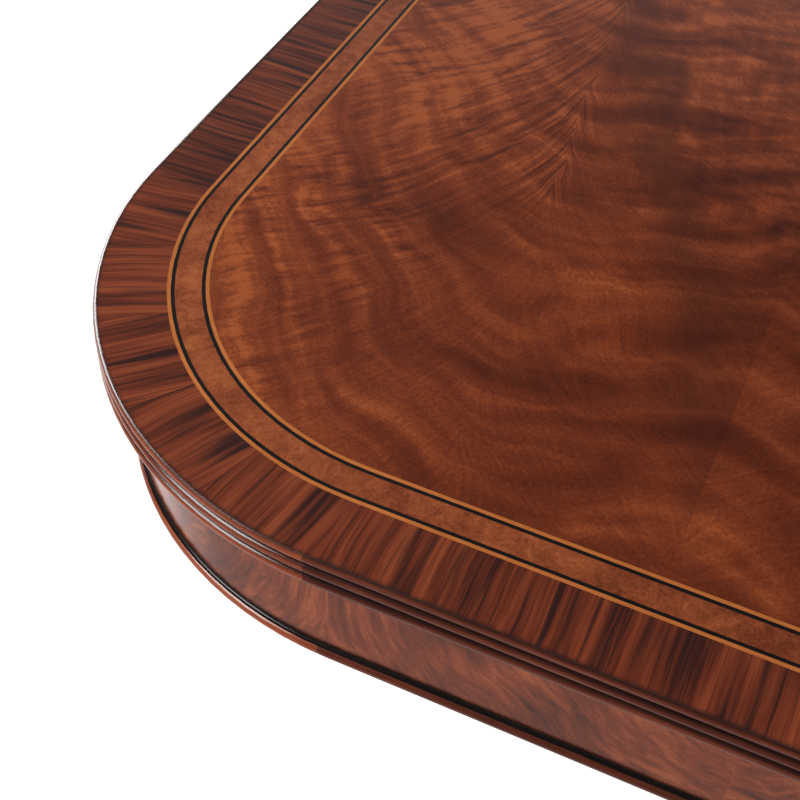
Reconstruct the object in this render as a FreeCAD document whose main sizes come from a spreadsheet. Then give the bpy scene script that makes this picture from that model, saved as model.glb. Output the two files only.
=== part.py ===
import FreeCAD, Part
import Sketcher
import math
import os
import re

# Twin-pedestal extending dining table, closed, standing on its castors.
# X runs along the table, Y across it and Z up, from the floor below the centre.
# The left half is modelled, and the right half is the left half turned half a
# turn about Z, so the two halves are alike, slides included.

# Driving dimensions in millimetres, and counts

SIZES = {
    # The closed top, over its veneer
    "table_length": 1890,
    "table_width": 1219,
    "table_height": 762,
    "corner_radius": 305,
    "joint_gap": 0.3,
    "glue_gap": 0.1,
    # The veneered surface, from the outside inwards
    "veneer_thickness": 1.0,
    "crossband_width": 52.8,
    "string_width": 3.0,
    "burl_width": 20.6,
    "field_panel_width": 430,
    # The solid lipping with its three reeds
    "lipping_width": 14,
    "lipping_seam": 0.3,
    "first_reed_drop": 3.34,
    "reed_radius": 4.6,
    "reed_pitch": 10.65,
    "reed_sink": 1.37,
    "reed_quirk": 0.65,
    # The frieze below the top, with the moulding planted on its foot
    "apron_drop": 139.4,
    "frieze_inset": 20,
    "apron_thickness": 22,
    "bead_radius": 5.1,
    "cove_radius": 2.75,
    "cove_lip": 0.3,
    "glue_block_leg": 30,
    "glue_block_length": 90,
    "glue_block_margin": 35,
    # The frame under each half
    "bearer_width": 45,
    "bearer_height": 60,
    "bearer_offset": 110,
    "cross_rail_setback": 130,
    "cross_rail_thickness": 24,
    "cross_rail_height": 98,
    # The telescopic slides
    "slide_length": 1000,
    "slide_offset": 170,
    "rail_width": 27,
    "rail_gap": 1.0,
    "slide_gap": 1.0,
    "groove_depth": 9.5,
    "tongue_root": 14,
    "tongue_tip": 22,
    "tongue_play": 0.5,
    "slide_passage": 5,
    "spreader_width": 30,
    "spreader_height": 20,
    # Screws
    "screw_radius": 2.5,
    "screw_head_radius": 5,
    "screw_head_height": 3,
    "screw_bite": 17,
    "screw_play": 0.15,
    "bearer_screw_setback": 70,
    "block_screw_step": 110,
    "rail_screw_setback": 90,
    # Dowels that line the two halves up
    "pin_radius": 5,
    "pin_length": 24,
    "pin_play": 0.35,
    "pin_taper": 2,
    "pin_setback": 160,
    # Locks under the joint
    "lock_setback": 50,
    "keeper_setback": 26,
    "lock_plate_thickness": 2.5,
    "lock_plate_width": 30,
    "lock_plate_length": 44,
    "lock_pivot_radius": 4,
    "lock_head_radius": 7,
    "lock_head_height": 2.5,
    "keeper_stud_radius": 3,
    "lever_half_width": 8,
    "lever_thickness": 4,
    "lever_tail": 14,
    "lever_play": 0.3,
    "pivot_play": 0.08,
    "notch_play": 0.5,
    "thumb_tab_drop": 12,
    "thumb_tab_thickness": 4,
    # The pedestal
    "column_setback": 480,
    "block_size": 300,
    "block_thickness": 40,
    "block_chamfer": 8,
    "column_radius": 60,
    "drum_radius": 55,
    "drum_top": 262,
    "drum_bottom": 148,
    "drop_height": 34,
    "column_tenon_radius": 25,
    "leg_count": 3,
    "leg_thickness": 44,
    "leg_root_top": 250,
    "leg_root_bottom": 160,
    "leg_top_radius": 452,
    "leg_under_radius": 572,
    "leg_tenon_depth": 14,
    "leg_tenon_width": 20,
    "leg_tenon_shoulder": 12,
    "leg_reach": 405,
    # Brass toe caps
    "cap_length": 55,
    "cap_width": 32,
    "cap_height": 33,
    "cap_wall": 2,
    "cap_corner": 6,
    "cap_overhang": 27,
    # Castors
    "wheel_radius": 19,
    "wheel_width": 14,
    "wheel_headroom": 3,
    "wheel_side_play": 0.8,
    "wheel_edge": 2,
    "wheel_web": 6,
    "wheel_rim": 4,
    "wheel_hub_radius": 7,
    "axle_radius": 3,
    "axle_play": 0.08,
    "rivet_height": 1,
    "fork_plate": 3,
    "fork_plate_radius": 13,
    "fork_cheek": 2.5,
    "fork_boss": 6,
    "fork_trail": 12,
    "stem_radius": 4.5,
    "stem_length": 18,
    "stem_play": 0.08,
    "swivel_gap": 0.4,
}

# Sizes that follow from the driving dimensions

DERIVED = {
    "half_length": "table_length / 2",
    "half_width": "table_width / 2",
    "joint_face": "joint_gap / 2",
    "veneer_bottom": "table_height - veneer_thickness",
    "edge_thickness": "first_reed_drop + 2 * reed_pitch + reed_radius + reed_quirk",
    "board_bottom": "table_height - edge_thickness",
    "reed_reach": "reed_radius - reed_sink",
    "reed_start": "sqrt(reed_radius^2 - first_reed_drop^2) - reed_sink",
    "outer_ebony": "crossband_width + string_width",
    "burl_start": "outer_ebony + string_width",
    "inner_ebony": "burl_start + burl_width",
    "inner_boxwood": "inner_ebony + string_width",
    "field_inset": "inner_boxwood + string_width",
    "apron_bottom": "table_height - apron_drop",
    "apron_inside": "frieze_inset + apron_thickness",
    "bead_centre": "apron_bottom + bead_radius",
    "cove_bottom": "bead_centre + bead_radius",
    "cove_depth": "cove_radius + cove_lip",
    "cove_top": "cove_bottom + cove_depth",
    "bearer_bottom": "board_bottom - bearer_height",
    "block_bottom": "bearer_bottom - block_thickness",
    "slide_height": "bearer_height - slide_gap",
    "slide_middle": "bearer_bottom + slide_height / 2",
    "middle_offset": "slide_offset + rail_width + rail_gap",
    "outer_offset": "middle_offset + rail_width + rail_gap",
    "slides_end": "outer_offset + rail_width",
    "tongue_reach": "rail_gap + groove_depth - tongue_play",
    "screw_length": "bearer_height + screw_bite - tongue_play",
    "rail_screw_step": "slide_length / 4 - rail_screw_setback",
    "pin_spacing": "half_width - pin_setback",
    "lock_offset": "(slides_end + half_width - apron_inside) / 2",
    "lever_top": "board_bottom - lock_plate_thickness - lever_play",
    "lever_bottom": "lever_top - lever_thickness",
    "lock_head_top": "lever_bottom - lever_play",
    "lever_reach": "lock_setback + keeper_setback",
    "notch_half": "keeper_stud_radius + notch_play",
    "column_x": "column_setback - half_length",
    "plate_bottom": "2 * wheel_radius + wheel_headroom",
    "plate_top": "plate_bottom + fork_plate",
    "cap_bottom": "plate_top + swivel_gap",
    "cap_top": "cap_bottom + cap_height",
    "cap_end": "leg_reach + cap_overhang",
    "cap_start": "cap_end - cap_length",
    "toe_half": "cap_width / 2 - cap_wall",
    "fork_inside": "wheel_width / 2 + wheel_side_play",
    "fork_outside": "fork_inside + fork_cheek",
}

# The column's outline from its tenon down to the drum: shares of the column's
# radius and of the height between drum and block, then the radius of the arc to
# the next point as a share of the straight way there, negative if hollow, 0 if none
COLUMN_SHARES = [
    (0.95, 1.000, 0),
    (0.95, 0.970, -0.94),
    (0.67, 0.945, 0),
    (0.67, 0.930, 0.61),
    (0.67, 0.885, 0),
    (0.55, 0.880, -2.10),
    (0.50, 0.560, 0),
    (0.62, 0.550, 0.64),
    (0.62, 0.510, 0),
    (0.50, 0.500, -1.03),
    (0.72, 0.430, 1.06),
    (0.60, 0.110, -0.85),
    (0.78, 0.050, 0),
    (0.90, 0.040, 0.80),
    (0.90, 0.000, 0),
]

# The turned drop below the drum, as shares of the drum's radius and the drop's height
DROP_SHARES = [
    (0.80, 1.000, 0),
    (0.80, 0.860, 1.23),
    (0.30, 0.300, -1.20),
    (0.22, 0.200, 0),
    (0.22, 0.000, 0),
]


# Names, values and places

doc = FreeCAD.newDocument("dining_table")
sheet = doc.addObject("Spreadsheet::Sheet", "Sizes")
for row, (alias, size) in enumerate(SIZES.items(), start=1):
    sheet.set("A%d" % row, alias)
    sheet.set("B%d" % row, str(size))
    sheet.setAlias("B%d" % row, alias)
doc.recompute()

UP = FreeCAD.Vector(0, 0, 1)
HALF_TURN = 180
pieces = []


def bound(text):
    """The expression with every size led back to its cell."""
    def cell(match):
        word = match.group(0)
        if word in DERIVED:
            return "(" + bound(DERIVED[word]) + ")"
        if word in SIZES:
            return "Sizes." + word
        return word
    return re.sub(r"[a-z][a-z_]*", cell, text)


def value(text):
    """What the expression comes to now."""
    return float(sheet.evalExpression(bound(text)))


def place(thing, x="0", y="0", z="0", turn=0):
    """Turn a thing about Z, then move it to a place that follows the sizes."""
    thing.Placement = FreeCAD.Placement(FreeCAD.Vector(), FreeCAD.Rotation(UP, turn))
    for axis, distance in (("x", x), ("y", y), ("z", z)):
        if distance != "0":
            thing.setExpression("Placement.Base." + axis, bound(distance))
    return thing


def group(label, members, **spot):
    """Members carried together under one label."""
    bundle = doc.addObject("Part::Compound", label)
    bundle.Label = label
    bundle.Links = members
    return place(bundle, **spot)


def keep(thing):
    """Count a thing among the table's pieces."""
    pieces.append(thing)
    return thing


# Sketches and the features made from them

def new_body(label):
    body = doc.addObject("PartDesign::Body", label)
    body.Label = label
    return body


def origin_part(body, role):
    """The body's own plane or axis of that role."""
    return [part for part in body.Origin.OriginFeatures if part.Role == role][0]


def new_sketch(body, role, offset="0"):
    """A sketch on one of the body's own planes, moved along the plane's normal."""
    sketch = body.newObject("Sketcher::SketchObject", body.Name + "_sketch")
    sketch.AttachmentSupport = [(origin_part(body, role), "")]
    sketch.MapMode = "FlatFace"
    if offset != "0":
        sketch.setExpression("AttachmentOffset.Base.z", bound(offset))
    return sketch


def arc_between(start, end, radius, turn):
    """The short arc from start to end, turning left where turn is positive."""
    half = (end - start) * 0.5
    rise = math.sqrt(max(radius ** 2 - half.Length ** 2, 0))
    side = FreeCAD.Vector(-half.y, half.x, 0).normalize() * math.copysign(rise, turn)
    centre = start + half + side
    first, last = (start, end) if turn > 0 else (end, start)
    angles = [math.atan2(spot.y - centre.y, spot.x - centre.x) for spot in (first, last)]
    return Part.ArcOfCircle(Part.Circle(centre, UP, radius), *angles)


def hold(sketch, geometry, spot, x, y):
    """Hold a point of a sketch at two distances from the sketch's origin."""
    for kind, distance, axis in (("DistanceX", x, -2), ("DistanceY", y, -1)):
        if distance == "0":
            sketch.addConstraint(Sketcher.Constraint("PointOnObject", geometry, spot, axis))
            continue
        index = sketch.addConstraint(
            Sketcher.Constraint(kind, -1, 1, geometry, spot, value(distance)))
        sketch.setExpression("Constraints[%d]" % index, bound(distance))


def draw(sketch, points, closed=True):
    """Join points by lines, or by arcs where a point names a radius and a turn."""
    spots = [FreeCAD.Vector(value(point[0]), value(point[1]), 0) for point in points]
    count = len(points) if closed else len(points) - 1
    first = sketch.GeometryCount
    ends = []
    for number in range(count):
        start, end = spots[number], spots[(number + 1) % len(spots)]
        if len(points[number]) == 2:
            sketch.addGeometry(Part.LineSegment(start, end))
            ends.append((1, 2))
            continue
        radius, turn = points[number][2:]
        sketch.addGeometry(arc_between(start, end, value(radius), turn))
        ends.append((1, 2) if turn > 0 else (2, 1))
    joints = count if closed else count - 1
    for number in range(joints):
        after = (number + 1) % count
        sketch.addConstraint(Sketcher.Constraint(
            "Coincident", first + number, ends[number][1], first + after, ends[after][0]))
    for number in range(count):
        x, y = points[number][:2]
        hold(sketch, first + number, ends[number][0], x, y)
        if len(points[number]) > 2:
            radius = points[number][2]
            index = sketch.addConstraint(
                Sketcher.Constraint("Radius", first + number, value(radius)))
            sketch.setExpression("Constraints[%d]" % index, bound(radius))
    if not closed:
        hold(sketch, first + count - 1, ends[-1][1], *points[-1][:2])


def draw_circles(sketch, centres, radius):
    for x, y in centres:
        middle = FreeCAD.Vector(value(x), value(y), 0)
        index = sketch.addGeometry(Part.Circle(middle, UP, value(radius)))
        hold(sketch, index, 3, x, y)
        limit = sketch.addConstraint(Sketcher.Constraint("Radius", index, value(radius)))
        sketch.setExpression("Constraints[%d]" % limit, bound(radius))


def rectangle(x_low, x_high, y_low, y_high):
    return [(x_low, y_low), (x_high, y_low), (x_high, y_high), (x_low, y_high)]


def extrude(kind, body, sketch, length, both=False, reverse=False):
    """Add or take away the sketch's area drawn out to a length."""
    feature = body.newObject("PartDesign::" + kind, body.Name + "_" + kind)
    feature.Profile = sketch
    feature.SideType = "Symmetric" if both else "One side"
    feature.Reversed = reverse
    feature.setExpression("Length", bound(length))
    sketch.Visibility = False
    return feature


def pad(body, role, points, length, offset="0", both=False):
    sketch = new_sketch(body, role, offset)
    draw(sketch, points)
    return extrude("Pad", body, sketch, length, both)


def pocket(body, role, points, length, offset="0", both=False, reverse=False):
    sketch = new_sketch(body, role, offset)
    draw(sketch, points)
    return extrude("Pocket", body, sketch, length, both, reverse)


def drill(body, role, centres, radius, length, offset="0", reverse=False):
    sketch = new_sketch(body, role, offset)
    draw_circles(sketch, centres, radius)
    return extrude("Pocket", body, sketch, length, reverse=reverse)


def post(body, role, centres, radius, length, offset="0", both=False):
    sketch = new_sketch(body, role, offset)
    draw_circles(sketch, centres, radius)
    return extrude("Pad", body, sketch, length, both)


def revolve(body, role, points, axis):
    """Turn a closed outline once round an axis of its sketch."""
    sketch = new_sketch(body, role)
    draw(sketch, points)
    feature = body.newObject("PartDesign::Revolution", body.Name + "_turning")
    feature.Profile = sketch
    feature.ReferenceAxis = (sketch, [axis])
    feature.Angle = 2 * HALF_TURN
    sketch.Visibility = False
    return feature


# Outlines that several pieces share

def half_path(inset):
    """Round the left half at one inset, from the front of the joint to its back."""
    low_x = "-half_length + " + inset
    bend_x = "-half_length + corner_radius"
    side = "half_width - (" + inset + ")"
    bend_y = "half_width - corner_radius"
    radius = "corner_radius - (" + inset + ")"
    return [
        ("-joint_face", "-(" + side + ")"),
        (bend_x, "-(" + side + ")", radius, -1),
        (low_x, "-(" + bend_y + ")"),
        (low_x, bend_y, radius, -1),
        (bend_x, side),
        ("-joint_face", side),
    ]


def backwards(path):
    """The same open path from its other end."""
    turned = []
    for number in reversed(range(len(path))):
        point = path[number][:2]
        before = path[number - 1][2:] if number else ()
        if before:
            point += (before[0], -before[1])
        turned.append(point)
    return turned


def half_panel(label, inset, bottom, thickness):
    """A board or sheet that fills the left half inside one inset."""
    body = new_body(label)
    pad(body, "XY_Plane", half_path(inset), thickness, offset=bottom)
    return body


def half_band(label, outside, inside, bottom, thickness):
    """A band that follows the left half between two insets."""
    body = new_body(label)
    outline = half_path(outside) + backwards(half_path(inside))
    pad(body, "XY_Plane", outline, thickness, offset=bottom)
    return body


def half_moulding(label, inset, section):
    """A moulding drawn round the left half, its section set outwards from the inset.

    It runs straight along the end, turns about each corner's centre and runs
    straight again to the joint.
    """
    def laid(edge):
        return [(edge + " + " + inset + " - (" + point[0] + ")",) + point[1:]
                for point in section]

    body = new_body(label)
    bend_x = "(half_length - corner_radius)"
    bend_y = "(half_width - corner_radius)"
    pad(body, "XZ_Plane", laid("-half_length"), "2 * " + bend_y, both=True)
    corner = new_sketch(body, "YZ_Plane", "-" + bend_x)
    corner.setExpression("AttachmentOffset.Base.x", bound("-" + bend_y))
    draw(corner, laid("-corner_radius"))
    bend = body.newObject("PartDesign::Revolution", label + "_bend")
    bend.Profile = corner
    bend.ReferenceAxis = (corner, ["V_Axis"])
    bend.Angle = HALF_TURN / 2
    bend.Reversed = True
    run = pad(body, "YZ_Plane", laid("-half_width"), bend_x + " - joint_face",
              offset="-" + bend_x)
    mirror = body.newObject("PartDesign::Mirrored", label + "_mirror")
    mirror.Originals = [bend, run]
    mirror.MirrorPlane = (origin_part(body, "XZ_Plane"), [""])
    body.Tip = mirror
    return body


# The veneered top of the left half

def make_board():
    board = half_panel("left_top_board", "lipping_width", "board_bottom",
                       "edge_thickness - veneer_thickness")
    middle = "(board_bottom + veneer_bottom) / 2"
    drill(board, "YZ_Plane", [(y, middle) for y in ("-pin_spacing", "0", "pin_spacing")],
          "pin_radius + pin_play", "pin_length / 2 + pin_play", offset="-joint_face")
    drill(board, "XY_Plane", bearer_screws() + rail_screws(), "screw_radius + screw_play",
          "screw_bite", offset="board_bottom", reverse=True)
    return board


def make_lipping():
    """The reeded edge: three half rounds, the first cut short by the table's top."""
    first = "table_height - first_reed_drop"
    section = [
        ("-lipping_width", "veneer_bottom"),
        ("lipping_seam", "veneer_bottom"),
        ("lipping_seam", "table_height"),
        ("reed_start", "table_height", "reed_radius", 1),
        ("reed_reach", first, "reed_radius", 1),
        ("-reed_sink", first + " - reed_radius"),
    ]
    for number in ("1", "2"):
        middle = first + " - " + number + " * reed_pitch"
        section += [
            ("-reed_sink", middle + " + reed_radius", "reed_radius", 1),
            ("reed_reach", middle, "reed_radius", 1),
            ("-reed_sink", middle + " - reed_radius"),
        ]
    section += [
        ("-reed_sink", "board_bottom"),
        ("-lipping_width", "board_bottom"),
    ]
    return half_moulding("left_reeded_edge", "0", section)


def make_band(label, outside, inside):
    return half_band(label, outside, inside, "veneer_bottom", "veneer_thickness")


def make_strings(label, starts):
    """Two fine lines let into the veneer."""
    lines = [make_band(label + "_line_" + start, start, start + " + string_width")
             for start in starts]
    return group(label, lines)


def make_field():
    """Two book-matched leaves of veneer that meet across the table."""
    seam = "-field_panel_width"
    path = half_path("field_inset")
    outer = new_body("left_outer_leaf")
    outline = [(seam, path[0][1])] + path[1:5] + [(seam, path[5][1])]
    pad(outer, "XY_Plane", outline, "veneer_thickness", offset="veneer_bottom")
    inner = new_body("left_inner_leaf")
    pad(inner, "XY_Plane", rectangle(seam, "-joint_face", path[0][1], path[5][1]),
        "veneer_thickness", offset="veneer_bottom")
    return group("left_field_veneer", [outer, inner])


# The frieze and its moulding

def make_cove():
    section = [
        ("0", "cove_bottom"),
        ("cove_depth", "cove_bottom"),
        ("cove_depth", "cove_bottom + cove_lip", "cove_radius", 1),
        ("cove_lip", "cove_top"),
        ("0", "cove_top"),
    ]
    return half_moulding("left_ebonised_cove", "frieze_inset", section)


def make_bead():
    section = [
        ("0", "cove_bottom", "bead_radius", 1),
        ("bead_radius", "bead_centre", "bead_radius", 1),
        ("0", "apron_bottom"),
    ]
    return half_moulding("left_base_bead", "frieze_inset", section)


def make_glue_blocks():
    """Three-cornered blocks rubbed into the angle between frieze and top."""
    block = new_body("left_glue_block")
    corner = [
        ("0", "board_bottom"),
        ("0", "board_bottom - glue_block_leg"),
        ("glue_block_leg", "board_bottom"),
    ]
    pad(block, "YZ_Plane", corner, "glue_block_length", both=True)
    inside = "(half_width - apron_inside)"
    margin = "(glue_block_length / 2 + glue_block_margin)"
    along = ["-half_length + corner_radius + " + margin,
             "-cross_rail_setback - cross_rail_thickness - " + margin]
    blocks = [group("left_front_block", [block], x=x, y="-" + inside) for x in along]
    blocks += [group("left_back_block", [block], x=x, y=inside, turn=HALF_TURN)
               for x in along]
    blocks.append(group("left_end_block", [block], x="-half_length + apron_inside",
                        turn=-HALF_TURN / 2))
    return group("left_glue_blocks", blocks)


# The frame under the top

def bearer_screws():
    """Screws up through both ends of the bearers into the top."""
    ends = ["-half_length + apron_inside + bearer_screw_setback",
            "-cross_rail_setback - cross_rail_thickness - bearer_screw_setback"]
    return [(x, y) for x in ends for y in ("-bearer_offset", "bearer_offset")]


def block_screws():
    """Screws up through the pedestal's block into the bearers."""
    return [("column_x " + step, y) for step in ("- block_screw_step", "+ block_screw_step")
            for y in ("-bearer_offset", "bearer_offset")]


def rail_screws():
    """Screws up through the fixed rails into the top, in the wood behind the groove."""
    wood = "(rail_width - groove_depth) / 2"
    places = []
    for number in ("0", "1", "2"):
        x = "-rail_screw_setback - " + number + " * rail_screw_step"
        places += [(x, "slide_offset + " + wood), (x, "-slides_end + " + wood)]
    return places


def make_frame():
    """Two bearers along the top and a rail across it, notched for the slides."""
    bearers = []
    for name, side in (("front", "-"), ("back", "")):
        middle = side + "bearer_offset"
        bearer = new_body("left_" + name + "_bearer")
        pad(bearer, "XY_Plane",
            rectangle("-half_length + apron_inside",
                      "-cross_rail_setback - cross_rail_thickness",
                      middle + " - bearer_width / 2", middle + " + bearer_width / 2"),
            "bearer_height", offset="bearer_bottom")
        own = [spot for spot in bearer_screws() if spot[1] == middle]
        drill(bearer, "XY_Plane", own, "screw_radius + screw_play", "bearer_height",
              offset="bearer_bottom", reverse=True)
        low = [spot for spot in block_screws() if spot[1] == middle]
        drill(bearer, "XY_Plane", low, "screw_radius + screw_play",
              "screw_length - block_thickness + tongue_play", offset="bearer_bottom",
              reverse=True)
        bearers.append(bearer)
    rail = new_body("left_cross_rail")
    end = "(half_width - apron_inside)"
    near = "(slide_offset - slide_passage)"
    far = "(slides_end + slide_passage)"
    floor_of_notch = "bearer_bottom - slide_passage"
    low = "board_bottom - cross_rail_height"
    outline = [
        ("-" + end, low), (end, low), (end, "board_bottom"),
        (far, "board_bottom"), (far, floor_of_notch), (near, floor_of_notch),
        (near, "board_bottom"), ("-" + near, "board_bottom"), ("-" + near, floor_of_notch),
        ("-" + far, floor_of_notch), ("-" + far, "board_bottom"), ("-" + end, "board_bottom"),
    ]
    pad(rail, "YZ_Plane", outline, "cross_rail_thickness",
        offset="-cross_rail_setback - cross_rail_thickness")
    return group("left_underframe", bearers + [rail])


# The telescopic slides

def dovetail(face, inward, depth, start, play):
    """A dovetail that widens away from the middle rail, from its foot to its head.

    Start is how far from the middle rail's side the face lies.
    """
    flare = "(tongue_tip - tongue_root) / 2 / tongue_reach"
    root = "(tongue_root / 2 + " + flare + " * " + start + " + " + play + ")"
    tip = "(" + root + " + " + flare + " * " + depth + ")"
    bottom = face + " " + inward + " " + depth
    return [
        (face, "slide_middle - " + root),
        (bottom, "slide_middle - " + tip),
        (bottom, "slide_middle + " + tip),
        (face, "slide_middle + " + root),
    ]


def make_fixed_rails():
    """Two like rails, each grooved towards its middle rail and screwed to the top.

    Beyond the joint they run free below the other half, a slide_gap lower.
    """
    rail = new_body("left_fixed_rail")
    face = "(slide_offset + rail_width)"
    outline = [
        ("slide_offset", "bearer_bottom"),
        (face, "bearer_bottom"),
    ] + dovetail(face, "-", "groove_depth", "rail_gap", "tongue_play") + [
        (face, "board_bottom"),
        ("slide_offset", "board_bottom"),
    ]
    pad(rail, "YZ_Plane", outline, "slide_length", both=True)
    pocket(rail, "XZ_Plane",
           rectangle("-joint_face", "slide_length", "board_bottom - slide_gap",
                     "board_bottom + slide_gap"),
           "2 * slides_end", both=True)
    own = [spot for spot in rail_screws() if spot[1].startswith("slide_offset")]
    drill(rail, "XY_Plane", own, "screw_radius + screw_play", "bearer_height",
          offset="bearer_bottom", reverse=True)
    back = group("left_back_rail", [rail])
    front = group("left_front_rail", [rail], y="-slide_offset - slides_end")
    return group("left_slide_rails", [back, front])


def make_middle_rail(label, start):
    """A rail with a dovetail tongue on each side, which rides between two fixed rails."""
    rail = new_body(label)
    low = start
    high = "(" + start + " + rail_width)"
    top = "board_bottom - slide_gap"
    outline = [(low, "bearer_bottom"), (high, "bearer_bottom")]
    outline += dovetail(high, "+", "tongue_reach", "0", "0")
    outline += [(high, top), (low, top)]
    outline += reversed(dovetail(low, "-", "tongue_reach", "0", "0"))
    pad(rail, "YZ_Plane", outline, "slide_length", both=True)
    return rail


def make_spreader():
    """A bar under the two middle rails that keeps them in step."""
    bar = new_body("slide_spreader")
    end = "(middle_offset + rail_width)"
    pad(bar, "XY_Plane",
        rectangle("-spreader_width / 2", "spreader_width / 2", "-" + end, end),
        "spreader_height", offset="bearer_bottom - spreader_height")
    return bar


# Screws, dowels and locks

def make_screws():
    screw = new_body("left_screw")
    revolve(screw, "XZ_Plane", [
        ("0", "-screw_head_height"),
        ("screw_head_radius / 2", "-screw_head_height"),
        ("screw_head_radius", "0"),
        ("screw_radius", "0"),
        ("screw_radius", "screw_length - screw_radius"),
        ("0", "screw_length"),
    ], "V_Axis")
    screws = [group("left_bearer_screw", [screw], x=x, y=y, z="bearer_bottom")
              for x, y in bearer_screws() + rail_screws()]
    screws += [group("left_block_screw", [screw], x=x, y=y, z="block_bottom")
               for x, y in block_screws()]
    return group("left_screws", screws)


def make_pins():
    pin = new_body("alignment_pin")
    tip = "(pin_length / 2)"
    shoulder = "(pin_length / 2 - pin_taper)"
    waist = "pin_radius - pin_taper / 2"
    revolve(pin, "XY_Plane", [
        ("-" + tip, "0"), (tip, "0"), (tip, waist), (shoulder, "pin_radius"),
        ("-" + shoulder, "pin_radius"), ("-" + tip, waist),
    ], "H_Axis")
    middle = "(board_bottom + veneer_bottom) / 2"
    pins = [group("alignment_pin_set", [pin], y=y, z=middle)
            for y in ("-pin_spacing", "0", "pin_spacing")]
    return group("alignment_pins", pins)


def make_lock_plates(label, x, stud_radius, head_radius):
    """A plate under the top with a headed stud hanging from it, front and back."""
    plate = new_body(label + "_plate")
    outline = rectangle("-lock_plate_length / 2", "lock_plate_length / 2",
                        "-lock_plate_width / 2", "lock_plate_width / 2")
    pad(plate, "XY_Plane", outline, "lock_plate_thickness",
        offset="board_bottom - lock_plate_thickness")
    post(plate, "XY_Plane", [("0", "0")], stud_radius,
         "board_bottom - lock_head_top", offset="lock_head_top")
    post(plate, "XY_Plane", [("0", "0")], head_radius, "lock_head_height",
         offset="lock_head_top - lock_head_height")
    return group(label, [group(label + "_set", [plate], x=x, y=y)
                         for y in ("-lock_offset", "lock_offset")])


def make_lever():
    """A flat lever with a side notch that takes the keeper's stud as it swings shut."""
    lever = new_body("lock_lever")
    wide = "lever_half_width"
    outline = [
        ("0", wide, wide, 1),
        ("-" + wide, "0", wide, 1),
        ("0", "-" + wide),
        ("lever_reach + lever_tail", "-" + wide),
        ("lever_reach + lever_tail", wide),
        ("lever_reach + notch_half", wide),
        ("lever_reach + notch_half", "0", "notch_half", -1),
        ("lever_reach", "-notch_half", "notch_half", -1),
        ("lever_reach - notch_half", "0"),
        ("lever_reach - notch_half", wide),
    ]
    pad(lever, "XY_Plane", outline, "lever_thickness", offset="lever_bottom")
    drill(lever, "XY_Plane", [("0", "0")], "lock_pivot_radius + pivot_play",
          "lever_thickness", offset="lever_top")
    tab = rectangle("lever_reach + lever_tail - thumb_tab_thickness",
                    "lever_reach + lever_tail", "-" + wide, wide)
    pad(lever, "XY_Plane", tab, "thumb_tab_drop", offset="lever_bottom - thumb_tab_drop")
    return lever


# The pedestal

def make_block():
    block = new_body("left_pedestal_block")
    half = "block_size / 2"
    corner = "(block_size / 2 - block_chamfer)"
    plan = [
        ("-" + half, "-" + corner), ("-" + corner, "-" + half),
        (corner, "-" + half), (half, "-" + corner),
        (half, corner), (corner, half),
        ("-" + corner, half), ("-" + half, corner),
    ]
    pad(block, "XY_Plane", plan, "block_thickness", offset="block_bottom")
    holes = [(step, y) for step in ("-block_screw_step", "block_screw_step")
             for y in ("-bearer_offset", "bearer_offset")]
    drill(block, "XY_Plane", holes, "screw_radius + screw_play", "block_thickness",
          offset="bearer_bottom")
    drill(block, "XY_Plane", [("0", "0")], "column_tenon_radius + glue_gap",
          "block_thickness", offset="bearer_bottom")
    return place(block, x="column_x")


def turned_outline(shares, radius, bottom, height):
    """Points of a turned outline from top to bottom, with its rounds and hollows."""
    points = []
    for (across, up, arc), (next_across, next_up, _) in zip(shares, shares[1:] + shares[-1:]):
        point = ("%g * %s" % (across, radius), "%s + %g * (%s)" % (bottom, up, height))
        if arc:
            way = "sqrt((%g * %s)^2 + (%g * (%s))^2)" % (
                next_across - across, radius, next_up - up, height)
            point += ("%g * %s" % (abs(arc), way), math.copysign(1, -arc))
        points.append(point)
    return points


def make_column():
    """The turned column with its tenon, drum and drop, and a mortise for each leg."""
    column = new_body("left_column")
    shaft = turned_outline(COLUMN_SHARES, "column_radius", "drum_top",
                           "block_bottom - drum_top")
    drop = turned_outline(DROP_SHARES, "drum_radius", "(drum_bottom - drop_height)",
                          "drop_height")
    outline = [
        ("0", "bearer_bottom"),
        ("column_tenon_radius", "bearer_bottom"),
        ("column_tenon_radius", "block_bottom"),
    ] + shaft + [
        ("drum_radius", "drum_top"),
        ("drum_radius", "drum_bottom"),
    ] + drop + [
        ("0", "drum_bottom - drop_height"),
    ]
    revolve(column, "XZ_Plane", outline, "V_Axis")
    mortise = pocket(
        column, "XY_Plane",
        rectangle("drum_radius - leg_tenon_depth - glue_gap", "drum_radius + leg_tenon_depth",
                  "-leg_tenon_width / 2 - glue_gap", "leg_tenon_width / 2 + glue_gap"),
        "leg_root_top - leg_root_bottom - 2 * leg_tenon_shoulder + 2 * glue_gap",
        offset="leg_root_top - leg_tenon_shoulder + glue_gap")
    ring = column.newObject("PartDesign::PolarPattern", "left_column_mortises")
    ring.Originals = [mortise]
    ring.Axis = (origin_part(column, "Z_Axis"), [""])
    ring.Angle = 2 * HALF_TURN
    ring.setExpression("Occurrences", bound("leg_count"))
    column.Tip = ring
    return place(column, x="column_x", turn=HALF_TURN)


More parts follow.
